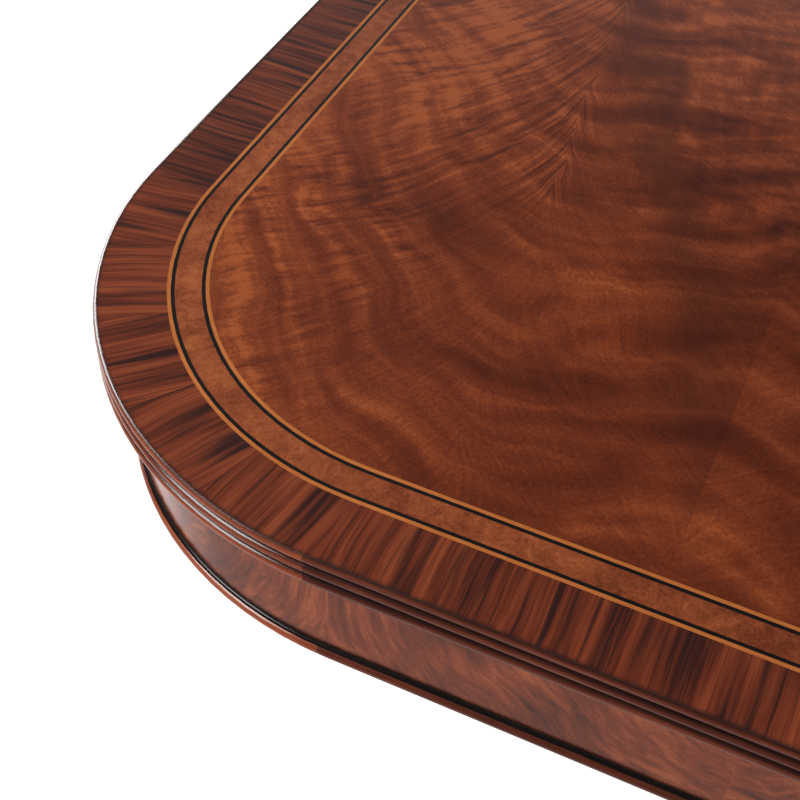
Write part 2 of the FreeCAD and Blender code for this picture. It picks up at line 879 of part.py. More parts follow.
def make_leg():
    """A swept leg along X: deep and thick at the drum, ending in a toe for its cap."""
    leg = new_body("pedestal_leg")
    root = "(drum_radius - leg_tenon_depth)"
    side = [
        (root, "leg_root_top"),
        (root, "leg_root_bottom"),
        ("drum_radius", "leg_root_bottom", "leg_under_radius", 1),
        ("cap_start", "cap_bottom"),
        ("cap_start", "cap_bottom + cap_wall"),
        ("cap_end - cap_wall", "cap_bottom + cap_wall"),
        ("cap_end - cap_wall", "cap_top - cap_wall"),
        ("cap_start", "cap_top - cap_wall"),
        ("cap_start", "cap_top", "leg_top_radius", -1),
        ("drum_radius", "leg_root_top"),
    ]
    pad(leg, "XZ_Plane", side, "leg_thickness", both=True)
    for sign in ("-", ""):
        taper = [
            ("0", sign + "leg_thickness / 2"),
            ("drum_radius", sign + "leg_thickness / 2"),
            ("cap_start", sign + "cap_width / 2"),
            ("cap_start", sign + "toe_half"),
            ("cap_end", sign + "toe_half"),
            ("cap_end", sign + "leg_thickness"),
            ("0", sign + "leg_thickness"),
        ]
        pocket(leg, "XY_Plane", taper, "leg_root_top", offset="leg_root_top")
    drill(leg, "XY_Plane", [("0", "0")], "drum_radius + glue_gap", "leg_root_top",
          offset="leg_root_top")
    pad(leg, "XY_Plane",
        rectangle(root, "drum_radius + leg_tenon_depth", "-leg_tenon_width / 2",
                  "leg_tenon_width / 2"),
        "leg_root_top - leg_root_bottom - 2 * leg_tenon_shoulder",
        offset="leg_root_bottom + leg_tenon_shoulder")
    drill(leg, "XY_Plane", [("leg_reach", "0")], "stem_radius + cap_wall / 2",
          "stem_length", offset="cap_bottom", reverse=True)
    return leg


def make_cap():
    """A brass box over the leg's toe, open towards the leg, with a hole for the stem."""
    cap = new_body("toe_cap")
    half = "cap_width / 2"
    inner = "(cap_width / 2 - cap_corner)"
    plan = [
        ("cap_start", "-" + half),
        ("cap_end - cap_corner", "-" + half, "cap_corner", 1),
        ("cap_end", "-" + inner),
        ("cap_end", inner, "cap_corner", 1),
        ("cap_end - cap_corner", half),
        ("cap_start", half),
    ]
    pad(cap, "XY_Plane", plan, "cap_height", offset="cap_bottom")
    socket = rectangle("-toe_half - glue_gap", "toe_half + glue_gap",
                       "cap_bottom + cap_wall - glue_gap", "cap_top - cap_wall + glue_gap")
    pocket(cap, "YZ_Plane", socket, "cap_length - cap_wall + glue_gap", offset="cap_start",
           reverse=True)
    drill(cap, "XY_Plane", [("leg_reach", "0")], "stem_radius + stem_play", "cap_wall",
          offset="cap_bottom", reverse=True)
    return cap


# The castors, modelled about their swivel axis with the foot of the wheel on the floor

def make_fork():
    """A swivelling fork: round plate, stem, two cheeks and the axle riveted in them."""
    fork = new_body("castor_fork")
    cheek = [
        ("fork_plate_radius / 2", "plate_bottom + fork_plate"),
        ("-fork_plate_radius", "plate_bottom + fork_plate"),
        ("-fork_plate_radius", "plate_bottom"),
        ("-fork_trail - fork_boss", "wheel_radius", "fork_boss", 1),
        ("-fork_trail", "wheel_radius - fork_boss", "fork_boss", 1),
        ("-fork_trail + fork_boss", "wheel_radius"),
        ("fork_plate_radius / 2", "plate_bottom"),
    ]
    pad(fork, "XZ_Plane", cheek, "2 * fork_outside", both=True)
    gap = rectangle("-fork_trail - 2 * fork_plate_radius", "2 * fork_plate_radius",
                    "-fork_inside", "fork_inside")
    pocket(fork, "XY_Plane", gap, "plate_bottom", offset="plate_bottom")
    post(fork, "XY_Plane", [("0", "0")], "fork_plate_radius", "fork_plate",
         offset="plate_bottom")
    post(fork, "XY_Plane", [("0", "0")], "stem_radius", "stem_length", offset="plate_top")
    post(fork, "XZ_Plane", [("-fork_trail", "wheel_radius")], "axle_radius",
         "2 * fork_outside + 2 * rivet_height", both=True)
    return fork


def make_wheel():
    """A brass wheel: rim, thin web and hub, turned about its axle."""
    wheel = new_body("castor_wheel")
    bore = "axle_radius + axle_play"
    rim = "(wheel_radius - wheel_rim)"
    half = "(wheel_width / 2)"
    edge = "(wheel_width / 2 - wheel_edge)"
    web = "(wheel_web / 2)"
    outline = [
        (bore, "-" + half), ("wheel_hub_radius", "-" + half),
        ("wheel_hub_radius", "-" + web), (rim, "-" + web), (rim, "-" + half),
        ("wheel_radius - wheel_edge", "-" + half), ("wheel_radius", "-" + edge),
        ("wheel_radius", edge), ("wheel_radius - wheel_edge", half),
        (rim, half), (rim, web), ("wheel_hub_radius", web),
        ("wheel_hub_radius", half), (bore, half),
    ]
    revolve(wheel, "XY_Plane", outline, "V_Axis")
    return place(wheel, x="-fork_trail", z="wheel_radius")


# The left half

keep(make_board())
keep(make_lipping())
keep(make_band("left_crossband", "0", "crossband_width"))
keep(make_strings("left_boxwood_stringing", ["crossband_width", "inner_boxwood"]))
keep(make_strings("left_ebony_stringing", ["outer_ebony", "inner_ebony"]))
keep(make_band("left_burl_band", "burl_start", "inner_ebony"))
keep(make_field())
keep(half_band("left_apron", "frieze_inset", "apron_inside", "apron_bottom",
               "board_bottom - apron_bottom"))
keep(make_cove())
keep(make_bead())
keep(make_glue_blocks())
keep(make_frame())
keep(make_fixed_rails())
keep(make_screws())
keep(make_block())
keep(make_column())

leg = make_leg()
cap = make_cap()
spots = [HALF_TURN + 2 * HALF_TURN * number / SIZES["leg_count"]
         for number in range(SIZES["leg_count"])]
for number, turn in enumerate(spots, start=1):
    keep(group("left_leg_%d" % number, [leg], x="column_x", turn=turn))
keep(group("left_toe_caps", [group("left_toe_cap", [cap], x="column_x", turn=turn)
                             for turn in spots]))

fork = group("fork_at_toe", [make_fork()], x="leg_reach")
wheel = group("wheel_at_toe", [make_wheel()], x="leg_reach")
for number, turn in enumerate(spots, start=1):
    keep(group("left_castor_fork_%d" % number, [fork], x="column_x", turn=turn))
    keep(group("left_castor_wheel_%d" % number, [wheel], x="column_x", turn=turn))

# The right half, turned half a turn about the middle of the table

for thing in list(pieces):
    keep(group(thing.Label.replace("left", "right", 1), [thing], turn=HALF_TURN))

# What joins the two halves

keep(make_middle_rail("back_middle_rail", "middle_offset"))
keep(make_middle_rail("front_middle_rail", "-middle_offset - rail_width"))
keep(make_spreader())
keep(make_pins())
keep(make_lock_plates("lock_plates", "-lock_setback", "lock_pivot_radius",
                      "lock_head_radius"))
keep(make_lock_plates("lock_keepers", "keeper_setback", "keeper_stud_radius",
                      "lock_head_radius"))
lever = make_lever()
keep(group("front_lock_lever", [lever], x="-lock_setback", y="-lock_offset",
           turn=-HALF_TURN / 2))
keep(group("back_lock_lever", [lever], x="-lock_setback", y="lock_offset",
           turn=-HALF_TURN / 2))

# Check everything, then write one file for each piece

doc.recompute()
for thing in doc.Objects:
    if "Invalid" in thing.State or "Error" in thing.State:
        raise RuntimeError("%s can't be built: %s" % (thing.Label, thing.State))
for thing in pieces:
    if thing.Shape.isNull() or not thing.Shape.isValid():
        raise RuntimeError("%s has no valid shape" % thing.Label)

os.makedirs("parts", exist_ok=True)
for thing in pieces:
    thing.Shape.exportStep("parts/%s.step" % thing.Label)
print("%d pieces" % len(pieces))
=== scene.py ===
import math

import bpy
from mathutils import Matrix, Vector


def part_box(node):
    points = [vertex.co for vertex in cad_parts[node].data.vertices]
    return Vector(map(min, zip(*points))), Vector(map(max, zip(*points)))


# Twin-pedestal extending dining table, seen close up at one rounded corner.
# All lengths are in metres. The CAD model gives the shapes, and this script gives
# them their polished veneers, solid woods and metals, the floor, light and camera.

# Sizes that the materials follow

CORNER = 0.305
FIELD_INSET = 0.0854
LEAF = 0.430
FRIEZE_INSET = 0.020
VENEER = 0.001
BOARD_BOTTOM = 0.7321
FRIEZE_MIDDLE = 0.69
COVE_TOP = 0.63585
REED_TOP = 0.75866
REED_PITCH = 0.01065
REED_FOOT = 0.73
COLUMN_X = 0.465
CROSS_RAIL_END = 0.1541

# Heights over which the edge's arris softens, and above which its flat top is darker

REED_SHOULDER = (0.7585, 0.7600)
RIM_TOP = (0.7617, 0.7619)

# The photograph's camera

IMAGE_WIDTH = 800
FOCAL_PIXELS = 1386.946
SENSOR = 36
CAMERA_SPOT = Vector((-0.38785, -1.09005, 1.48001))
CAMERA_YAW = 112.4358
CAMERA_PITCH = 46.3552
CAMERA_ROLL = -3.0100
CLIP_START = 0.01

# The lamps: where each one hangs, its two sides and its power in watts

LAMPS_AIM = Vector((0, 0, 0.6))
KEY_LIGHT = {"spot": (-2.75, -2.35, 2.3), "size": (1.2, 1.4), "power": 92}
KEY_SHINE = {"spot": (-2.72, -2.33, 2.28), "size": (1.5, 1.6), "power": 88}
RIM_SHINE = {"spot": (-2.38, 1.3, 2.65), "size": (0.9, 0.9), "power": 48}
FILL_LIGHT = {"spot": (3.4, -1.0, 2.8), "size": (2.4, 2.4), "power": 32}

# The studio: what is mirrored of it, what it lights with and what the camera sees

CEILING = (0.045, 0.045, 0.048, 1)
PANEL = (0.14, 0.14, 0.145, 1)
BACKDROP = (0.85, 0.85, 0.87, 1)
SOFT_GREY = (0.5, 0.5, 0.5, 1)
WHITE = (1, 1, 1, 1)

# Roughness of the French polish on the top, and the depth and strength of a fine grain

POLISH = (0.16, 0.22)
FINE_GRAIN = (0.00003, 0.2)

QUARTER_TURN = math.pi / 2

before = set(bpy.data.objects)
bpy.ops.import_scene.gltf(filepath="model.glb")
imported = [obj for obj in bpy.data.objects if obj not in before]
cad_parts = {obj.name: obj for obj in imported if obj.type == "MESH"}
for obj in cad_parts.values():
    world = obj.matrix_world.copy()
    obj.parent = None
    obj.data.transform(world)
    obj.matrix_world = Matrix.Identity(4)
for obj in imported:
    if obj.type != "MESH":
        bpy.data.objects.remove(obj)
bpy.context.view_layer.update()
half_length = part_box("right_crossband")[1].x
half_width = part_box("right_crossband")[1].y


# Colours and node materials

def paint(red, green, blue):
    """A colour given as it shows on a screen, 0 to 255, as the shader wants it."""
    def linear(share):
        if share <= 0.04045:
            return share / 12.92
        return ((share + 0.055) / 1.055) ** 2.4
    return (*(linear(part / 255) for part in (red, green, blue)), 1)


class Finish:
    """One procedural material. Each call adds a node and gives what comes out of it."""

    def __init__(self, name):
        self.material = bpy.data.materials.new(name)
        self.material.use_nodes = True
        self.tree = self.material.node_tree
        self.shader = self.tree.nodes["Principled BSDF"]
        point = self.add("ShaderNodeTexCoord").outputs["Object"]
        parts = self.add("ShaderNodeSeparateXYZ", {0: point})
        self.x, self.y, self.z = parts.outputs

    def feed(self, socket, value):
        if isinstance(value, bpy.types.NodeSocket):
            self.tree.links.new(value, socket)
        else:
            socket.default_value = value

    def add(self, kind, inputs=None, **settings):
        node = self.tree.nodes.new(kind)
        for name, setting in settings.items():
            setattr(node, name, setting)
        for key, value in (inputs or {}).items():
            self.feed(node.inputs[key], value)
        return node

    def math(self, operation, *values):
        node = self.add("ShaderNodeMath", dict(enumerate(values)), operation=operation)
        return node.outputs[0]

    def sum(self, first, *others):
        for other in others:
            first = self.math("ADD", first, other)
        return first

    def less(self, first, second):
        return self.math("SUBTRACT", first, second)

    def times(self, first, *others):
        for other in others:
            first = self.math("MULTIPLY", first, other)
        return first

    def step(self, value, low, high):
        """0 at low, 1 at high and smooth between them."""
        node = self.add("ShaderNodeMapRange", {0: value, 1: low, 2: high},
                        interpolation_type="SMOOTHSTEP")
        return node.outputs[0]

    def spot(self, x, y=0.0, z=0.0):
        return self.add("ShaderNodeCombineXYZ", {0: x, 1: y, 2: z}).outputs[0]

    def tone(self, *parts):
        """Noises laid over each other about 0.5, each with its own weight."""
        total = 0.5
        for noise, weight in parts:
            total = self.sum(total, self.times(self.less(noise, 0.5), weight))
        return total

    def noise(self, point, scale=1.0, detail=2.0, roughness=0.5, twist=0.0):
        inputs = {"Vector": point, "Scale": scale, "Detail": detail,
                  "Roughness": roughness, "Distortion": twist}
        return self.add("ShaderNodeTexNoise", inputs).outputs["Fac"]

    def streaks(self, *ways, seed=0.0, detail=2.0, roughness=0.5, twist=0.0):
        """Noise drawn out into streaks: each way is a place and its waves per unit.

        Where there are two ways, the seed picks another pattern of the same kind.
        """
        places = [self.times(place, rate) for place, rate in ways]
        places.append(seed)
        return self.noise(self.spot(*places[:3]), 1.0, detail, roughness, twist)

    def mix(self, share, first, second, kind="MIX"):
        node = self.add("ShaderNodeMix", {0: share, 6: first, 7: second},
                        data_type="RGBA", blend_type=kind)
        return node.outputs[2]

    def ramp(self, value, *stops):
        """Colours along a scale: each stop is a place from 0 to 1 and its colour."""
        node = self.add("ShaderNodeValToRGB", {0: value})
        elements = node.color_ramp.elements
        while len(elements) < len(stops):
            elements.new(0.5)
        for element, (place, colour) in zip(elements, stops):
            element.position = place
            element.color = colour
        return node.outputs[0]

    def gloss(self, value, low, high):
        """Roughness that wanders between two values."""
        node = self.add("ShaderNodeMapRange", {0: value, 1: 0.3, 2: 0.7, 3: low, 4: high})
        self.feed(self.shader.inputs["Roughness"], node.outputs[0])

    def relief(self, height, depth, strength, arris=0.0):
        """Bumps, over edges that look rounded by the arris where it is given."""
        bump = self.add("ShaderNodeBump",
                        {"Height": height, "Distance": depth, "Strength": strength})
        if arris != 0.0:
            rounded = self.add("ShaderNodeBevel", {"Radius": arris})
            self.feed(bump.inputs["Normal"], rounded.outputs[0])
        self.feed(self.shader.inputs["Normal"], bump.outputs[0])

    def colour(self, value):
        self.feed(self.shader.inputs["Base Color"], value)


def edge_place(finish):
    """How far a point lies along the rounded rim, and how far in from it.

    The way along the rim is measured within each quarter of the table from the
    middle of its end, round the corner and on along its side. The third value is
    the angle round the corner, and the fourth the distance from its centre.
    """
    past_x = finish.less(finish.math("ABSOLUTE", finish.x), half_length - CORNER)
    past_y = finish.less(finish.math("ABSOLUTE", finish.y), half_width - CORNER)
    out_x = finish.math("MAXIMUM", past_x, 0.0)
    out_y = finish.math("MAXIMUM", past_y, 0.0)
    angle = finish.math("ARCTAN2", out_y, out_x)
    reach = finish.math("SQRT", finish.sum(finish.times(out_x, out_x),
                                           finish.times(out_y, out_y)))
    side = finish.math("MAXIMUM", finish.times(past_x, -1.0), 0.0)
    along = finish.sum(finish.times(angle, CORNER), finish.math("MINIMUM", past_y, 0.0),
                       side)
    inset = finish.less(CORNER, reach)
    return along, inset, angle, reach


def quarter(finish):
    """A number that differs from one quarter of the table to the next."""
    return finish.sum(finish.times(finish.math("SIGN", finish.x), 3.1),
                      finish.times(finish.math("SIGN", finish.y), 7.7))


def pores(finish, along, across, length, width):
    """Fine dark flecks drawn out along the grain: 1 in a fleck and 0 elsewhere."""
    speck = finish.streaks((along, 1 / length), (across, 1 / width), detail=1.0)
    return finish.step(speck, 0.66, 0.76)


# The veneers of the top

def make_rosewood():
    """Crossband: dark streaks across the band, in short lengths round the corner."""
    finish = Finish("rosewood")
    along, inset, angle, reach = edge_place(finish)
    lengths_in_corner = 5
    turn = QUARTER_TURN / lengths_in_corner
    hairline = 0.0001
    number = finish.math("FLOOR", finish.times(angle, 1 / turn))
    middle = finish.times(finish.sum(number, 0.5), turn)
    swing = finish.math("SINE", finish.less(angle, middle))
    in_corner = finish.times(finish.math("GREATER_THAN", angle, hairline),
                             finish.math("LESS_THAN", angle, QUARTER_TURN - hairline))
    jump = 0.37
    bent = finish.sum(finish.times(middle, CORNER), finish.times(reach, swing),
                      finish.times(number, jump))
    across = finish.sum(finish.times(in_corner, bent),
                        finish.times(finish.less(1.0, in_corner), along), quarter(finish))
    wander = finish.streaks((across, 8.0), (inset, 14.0), detail=1.0)
    across = finish.sum(across, finish.times(wander, 0.006))

    # Only the dark side of the finer streaks shows
    palest = 0.54
    band = finish.streaks((across, 28.0), (inset, 3.0), detail=1.0)
    broad = finish.streaks((across, 75.0), (inset, 5.0), roughness=0.55)
    streak = finish.streaks((across, 260.0), (inset, 7.0), roughness=0.6)
    line = finish.streaks((across, 900.0), (inset, 16.0), roughness=0.6)
    tone = finish.sum(finish.tone((band, 0.4), (broad, 1.75),
                                  (finish.math("MINIMUM", streak, palest), 1.45),
                                  (finish.math("MINIMUM", line, palest), 0.8)),
                      finish.times(in_corner, 0.12), 0.04)
    colour = finish.ramp(tone,
                         (0.08, paint(46, 24, 22)),
                         (0.30, paint(74, 33, 23)),
                         (0.50, paint(99, 43, 26)),
                         (0.70, paint(119, 54, 31)),
                         (0.92, paint(138, 67, 37)))
    vein = finish.streaks((across, 105.0), (inset, 6.0), seed=5.0, detail=1.0)
    colour = finish.mix(finish.times(finish.step(vein, 0.54, 0.71), 0.88), colour,
                        paint(37, 22, 21))

    # The crossband is darker along the outer rim, in a ragged band
    ragged = finish.streaks((across, 300.0), (inset, 60.0))
    rim = finish.step(finish.sum(inset, finish.times(ragged, -0.006)), -0.0035, 0.0005)
    colour = finish.mix(finish.times(finish.less(1.0, rim), 0.6), colour, paint(38, 25, 24))
    finish.colour(colour)
    finish.gloss(streak, *POLISH)
    finish.relief(line, 0.00004, 0.25)
    return finish.material


def make_line(name, dark, light, shine=0.5):
    """A fine inlaid line, or the cove, with its grain along it."""
    finish = Finish(name)
    along, inset, _, _ = edge_place(finish)
    grain = finish.streaks((along, 60.0), (inset, 1800.0), detail=3.0, roughness=0.6)
    shade = finish.streaks((along, 9.0), (quarter(finish), 1.0))
    tone = finish.sum(finish.times(grain, 0.7), finish.times(shade, 0.3))
    finish.colour(finish.ramp(tone, (0.35, dark), (0.65, light)))
    finish.gloss(grain, *POLISH)
    finish.relief(grain, *FINE_GRAIN)
    finish.shader.inputs["Specular IOR Level"].default_value = shine
    return finish.material


def make_burl():
    """Mottled burl with small eyes and a soft drift of tone, with painted shade along the
    sides where the light falls off.
    """
    finish = Finish("burl")
    along, inset, _, _ = edge_place(finish)
    spot = finish.spot(finish.sum(along, quarter(finish)), inset)
    drift = finish.noise(spot, 16.0, 3.0, 0.6, 0.6)
    mottle = finish.noise(spot, 70.0, 4.0, 0.65, 1.2)
    grain = finish.noise(spot, 420.0, 3.0, 0.6, 0.5)
    # Painted shade: darker along the sides, where the light falls off away from the corner
    bend_end = QUARTER_TURN * CORNER
    painted_falloff_along_side = finish.step(along, bend_end, bend_end + 0.35)
    tone = finish.sum(finish.tone((drift, 1.1), (mottle, 1.2), (grain, 0.8)),
                      finish.times(painted_falloff_along_side, -0.27))
    colour = finish.ramp(tone,
                         (0.12, paint(105, 48, 25)),
                         (0.50, paint(142, 71, 38)),
                         (0.88, paint(171, 93, 51)))
    eyes = finish.step(finish.noise(spot, 160.0, 1.0, 0.5), 0.72, 0.80)
    colour = finish.mix(finish.times(eyes, 0.5), colour, paint(74, 36, 24))
    finish.colour(colour)
    finish.gloss(mottle, *POLISH)
    finish.relief(grain, *FINE_GRAIN)
    return finish.material


def flame_place(finish, across, up, size, wander=0.36):
    """Where a point lies in a crotch figure, from its place off the plume's spine.

    The first value stays the same along a fibre, which falls away from the spine
    ever more gently. The second stays the same along the ripples that cross it,
    which rise faster on the one side than on the other.
    """
    across = finish.times(across, 1 / size)
    up = finish.times(up, 1 / size)
    warp = finish.noise(finish.spot(across, up), 2.0)
    warp = finish.times(finish.less(warp, 0.5), wander)
    out = finish.math("ABSOLUTE", finish.sum(across, finish.times(warp, 0.5)))
    fall = finish.times(finish.math("SQRT", finish.sum(out, 0.02)), 1.3)
    fibre = finish.sum(up, fall, warp)
    leftward = finish.step(finish.times(across, -1.0), -0.15, 0.35)
    steep = finish.sum(0.45, finish.times(leftward, 0.75))
    rise = finish.times(finish.math("POWER", out, 1.5), steep)
    ripple = finish.sum(finish.less(up, rise), warp)
    return fibre, ripple


def make_field():
    """Crotch mahogany in book-matched leaves, each with a plume across the table.

    Places are measured in corner radii: side is across the leaf from the plume's
    spine, and up is across the table from the end of the corner.
    """
    finish = Finish("field_flame")
    outer = half_length - FIELD_INSET
    from_edge = finish.sum(finish.x, outer)
    leaf = finish.math("PINGPONG", from_edge, LEAF)
    level = finish.sum(finish.y, half_width - CORNER)
    spine_at_corner, lean = 0.79 * CORNER, 0.13
    spine = finish.less(spine_at_corner, finish.times(level, lean))
    across = finish.less(leaf, spine)
    fibre, ripple = flame_place(finish, across, level, CORNER)
    sheet = finish.math("FLOOR", finish.times(from_edge, 1 / LEAF))
    seed = finish.times(sheet, 0.05)
    second_leaf = finish.math("MODULO", sheet, 2.0)
    side = finish.times(across, 1 / CORNER)
    up = finish.times(level, 1 / CORNER)

    # Soft clouds, ripples across the fibre with pale crests, and the fibre itself
    cloud = finish.noise(finish.spot(side, up, finish.sum(seed, 4.0)), 2.2, 3.0)
    slant = finish.sum(finish.times(side, 1.4), finish.times(cloud, 1.5))
    arcs = finish.streaks((ripple, 9.0), (slant, 1.0), seed=seed)
    bend = finish.streaks((ripple, 8.0), (side, 1.7), seed=3.0, detail=1.0)
    crest = finish.step(finish.math("ABSOLUTE", finish.less(bend, 0.5)), 0.0, 0.085)
    crest = finish.times(finish.less(1.0, crest), finish.step(side, -0.35, 0.15))
    stroke = finish.streaks((fibre, 25.0), (ripple, 3.2), seed=seed, detail=3.0,
                            roughness=0.6)
    hair = finish.streaks((fibre, 75.0), (ripple, 6.0), seed=seed, roughness=0.6)
    cloth = finish.noise(finish.spot(finish.x, finish.y), 330.0, 3.0, 0.7)

    # A cross figure high up on the right of the plume
    upright = finish.streaks((side, 15.0), (up, 4.0), seed=6.0)
    bars = finish.streaks((side, 4.0), (up, 13.0), seed=9.0)
    crossed = finish.sum(finish.times(upright, 0.8), finish.times(bars, 0.9), -0.85)
    crossed = finish.times(finish.step(up, 0.30, 0.62), finish.step(side, 0.02, 0.28),
                           crossed)

    # Bold strokes in patches on the left, and in the heart of the plume
    patch = finish.streaks((ripple, 3.4), (side, 3.0), seed=8.0, detail=1.0)
    patch = finish.sum(patch, finish.times(finish.step(up, -0.12, 0.06), 0.08))
    left = finish.step(finish.times(side, -1.0), 0.16, 0.34)
    heart = finish.times(finish.step(side, -0.50, -0.30), finish.step(up, 0.22, 0.46),
                         finish.less(1.0, finish.step(side, -0.01, 0.06)))
    bold = finish.math("MAXIMUM", finish.times(left, finish.step(patch, 0.45, 0.64)), heart)
    brushed = finish.times(finish.less(stroke, 0.5),
                           finish.sum(finish.times(bold, 1.05), 0.28))

    # Painted light: the field is paler towards the ends of the table and darker in the
    # middle, as the light falls off
    paler_from = 0.62
    outward = finish.less(finish.math("ABSOLUTE", finish.x), paler_from)
    glow = finish.sum(finish.times(finish.math("MAXIMUM", outward, -0.12), 0.45),
                      finish.times(finish.step(outward, 0.06, 0.18), 0.13))
    tone = finish.sum(finish.tone((cloud, 0.85), (arcs, 1.05), (hair, 0.26), (cloth, 0.66)),
                      glow, brushed, crossed, 0.025, finish.times(crest, 0.11),
                      finish.times(second_leaf, 0.05), finish.times(heart, 0.09),
                      finish.times(bold, 0.05))
    colour = finish.ramp(tone,
                         (0.06, paint(64, 24, 14)),
                         (0.32, paint(88, 35, 18)),
                         (0.54, paint(107, 45, 22)),
                         (0.76, paint(131, 60, 28)),
                         (0.98, paint(162, 81, 39)))
    marks = finish.less(1.0, finish.step(stroke, 0.34, 0.46))
    colour = finish.mix(finish.times(marks, bold, 0.32), colour, paint(62, 25, 16))

    # A dark valley by the joint, which ends at the joint, and the pores
    drift = finish.noise(finish.spot(side, up, 2.0), 3.0)
    valley = finish.sum(side, finish.times(up, 0.32), finish.times(drift, 0.4), -0.70)
    valley = finish.less(1.0, finish.step(finish.math("ABSOLUTE", valley), 0.0, 0.17))
    valley = finish.times(valley, finish.less(0.46, finish.times(second_leaf, 0.30)))
    colour = finish.mix(valley, colour, paint(66, 27, 18))
    fleck = pores(finish, finish.x, finish.y, 0.0022, 0.0014)
    colour = finish.mix(finish.times(fleck, 0.35), colour, paint(44, 20, 15))
    finish.colour(colour)
    finish.gloss(arcs, 0.17, 0.23)
    finish.relief(cloth, *FINE_GRAIN)
    return finish.material


# The frieze and the solid mahogany

def make_frieze():
    """Flame veneer leaning along the frieze, with painted shade and a painted reflection of
    the black cove low down, just above the cove.

    The inside and the edges of the bent core are plain brown wood.
    """
    finish = Finish("frieze_flame")
    along, inset, _, _ = edge_place(finish)
    sheet_length = 0.29
    place = finish.less(along, QUARTER_TURN * CORNER)
    sheet = finish.math("FLOOR", finish.times(place, 1 / sheet_length))
    seed = finish.sum(finish.times(sheet, 1.7), quarter(finish))
    across = finish.sum(finish.math("PINGPONG", place, sheet_length), 0.004)
    up = finish.less(finish.z, FRIEZE_MIDDLE)
    fibre, ripple = flame_place(finish, across, up, 0.30, 0.22)
    broad = finish.streaks((ripple, 5.0), (fibre, 4.0), seed=seed)
    stroke = finish.streaks((fibre, 27.0), (ripple, 9.0), seed=seed, detail=3.0,
                            roughness=0.6, twist=0.4)
    cloth = finish.noise(finish.spot(along, finish.z), 420.0, 3.0, 0.65)
    tone = finish.tone((broad, 1.0), (stroke, 1.2), (cloth, 0.4))
    colour = finish.ramp(tone,
                         (0.12, paint(66, 27, 16)),
                         (0.50, paint(110, 48, 25)),
                         (0.88, paint(154, 78, 40)))
    # Painted shade and a painted reflection of the black cove, on the frieze just above it
    painted_shade_above_cove = finish.less(1.0, finish.step(finish.z, COVE_TOP - 0.001, COVE_TOP + 0.007))
    colour = finish.mix(finish.times(painted_shade_above_cove, 0.75), colour, paint(30, 17, 15))
    back_of_veneer = FRIEZE_INSET + VENEER
    core = finish.step(inset, back_of_veneer, back_of_veneer + 0.0002)
    rings = finish.streaks((along, 12.0), (inset, 900.0), (finish.z, 60.0), detail=3.0,
                           roughness=0.6)
    plain = finish.ramp(rings, (0.3, paint(96, 62, 40)), (0.7, paint(134, 92, 60)))
    finish.colour(finish.mix(core, colour, plain))
    finish.gloss(stroke, 0.14, 0.20)
    finish.relief(cloth, *FINE_GRAIN)
    return finish.material


def solid_mahogany(finish, along, across, depth, light=0.0, dark=0.0, arris=0.0006):
    """Straight-grained mahogany, polished dark: grain runs the first way given.

    Light is a share of paler wood. Dark is a share of near black, which on the edge is
    painted shade in the reed hollows together with a darker flat top.
    """
    figure = finish.streaks((along, 5.0), (across, 45.0), (depth, 45.0), detail=3.0,
                            roughness=0.6, twist=0.4)
    grain = finish.streaks((along, 22.0), (across, 700.0), (depth, 700.0), detail=3.0,
                           roughness=0.6)
    tone = finish.tone((figure, 1.1), (grain, 0.9))
    colour = finish.ramp(tone,
                         (0.12, paint(50, 22, 16)),
                         (0.50, paint(84, 37, 23)),
                         (0.88, paint(116, 55, 33)))
    pale = finish.ramp(tone,
                       (0.12, paint(84, 36, 22)),
                       (0.50, paint(128, 60, 36)),
                       (0.88, paint(164, 88, 50)))
    colour = finish.mix(light, colour, pale)
    # Near black laid over the wood: on the edge, painted shade in the reed hollows and the
    # darker flat top
    finish.colour(finish.mix(dark, colour, paint(22, 12, 10)))
    finish.gloss(figure, 0.14, 0.22)
    finish.relief(grain, *FINE_GRAIN, arris)
    return finish.material


def make_edge_mahogany():
    """Solid edge in paler lengths round the corners and darker ones between them.

    Painted shade and a painted dark reflection lie in the hollows between the reeds, under
    each reed's overhang.
    """
    finish = Finish("edge_mahogany")
    along, inset, angle, _ = edge_place(finish)
    joint = 0.026
    bend = finish.times(finish.math("GREATER_THAN", angle, joint),
                        finish.math("LESS_THAN", angle, QUARTER_TURN - joint))
    half_pitch = REED_PITCH / 2
    # Painted shade in the hollows between the reeds, where each reed overhangs the next
    painted_hollow_shade = finish.math("WRAP", finish.less(finish.z, REED_TOP - half_pitch),
                         half_pitch, -half_pitch)
    deep, unshaded = 0.0014, 0.0037
    painted_hollow_shade = finish.less(1.0, finish.step(finish.math("ABSOLUTE", painted_hollow_shade), deep, unshaded))
    painted_hollow_shade = finish.times(painted_hollow_shade, finish.step(finish.z, REED_FOOT, REED_FOOT + 0.0001))
    # The flat on top of the edge is darker
    flat = finish.step(finish.z, *RIM_TOP)
    dark = finish.math("MAXIMUM", finish.times(painted_hollow_shade, 0.85), finish.times(flat, 0.7))
    crisp, softer = 0.0002, 0.0006
    shoulder = finish.step(finish.z, *REED_SHOULDER)
    arris = finish.sum(crisp, finish.times(shoulder, softer))
    return solid_mahogany(finish, finish.sum(along, quarter(finish)), inset, finish.z,
                          bend, dark, arris)


def make_column_mahogany():
    finish = Finish("turned_mahogany")
    return solid_mahogany(finish, finish.z, finish.x, finish.y)


